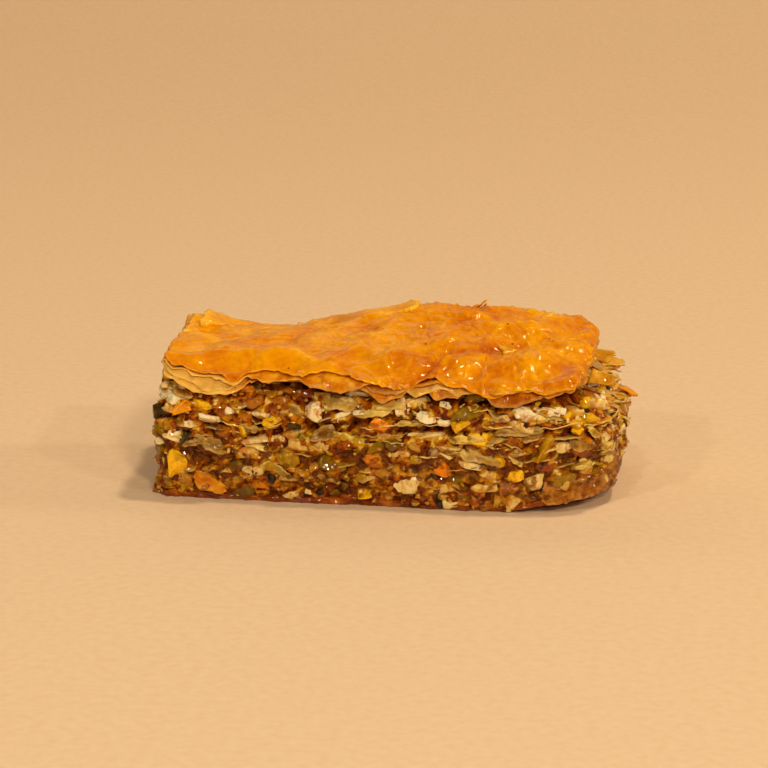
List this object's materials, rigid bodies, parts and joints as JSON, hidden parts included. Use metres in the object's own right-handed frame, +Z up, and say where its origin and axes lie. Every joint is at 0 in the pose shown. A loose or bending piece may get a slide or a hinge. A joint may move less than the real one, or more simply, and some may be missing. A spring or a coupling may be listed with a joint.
{
  "type": "baklava piece",
  "caption": "Cut bar of baklava: a domed, syrup-glazed pastry crust over bands of chopped nuts and thin pastry on a soaked base.",
  "frame": {"origin": "on the plate side of the base, under the middle of the piece's box", "axes": "+X along the length towards the end whose base curls up, +Y from the shown cut side to the back, +Z up through the crust"},
  "size_m": [0.1042, 0.0476, 0.0376],
  "materials": {
    "base_pastry": "brown pastry soaked in syrup, wet and glossy",
    "nuts": "chopped almonds, pistachios and walnuts coated in syrup",
    "soaked_pastry": "thin pale pastry sheets soaked in syrup",
    "baked_crust": "golden baked pastry with a syrup glaze"
  },
  "bodies": {
    "root": {"base_pastry": "base_pastry", "lower_nuts": "nuts", "lower_pastry": "soaked_pastry", "middle_nuts": "nuts", "upper_pastry": "soaked_pastry", "top_nuts": "nuts", "top_crust": "baked_crust"}
  },
  "joints": []
}
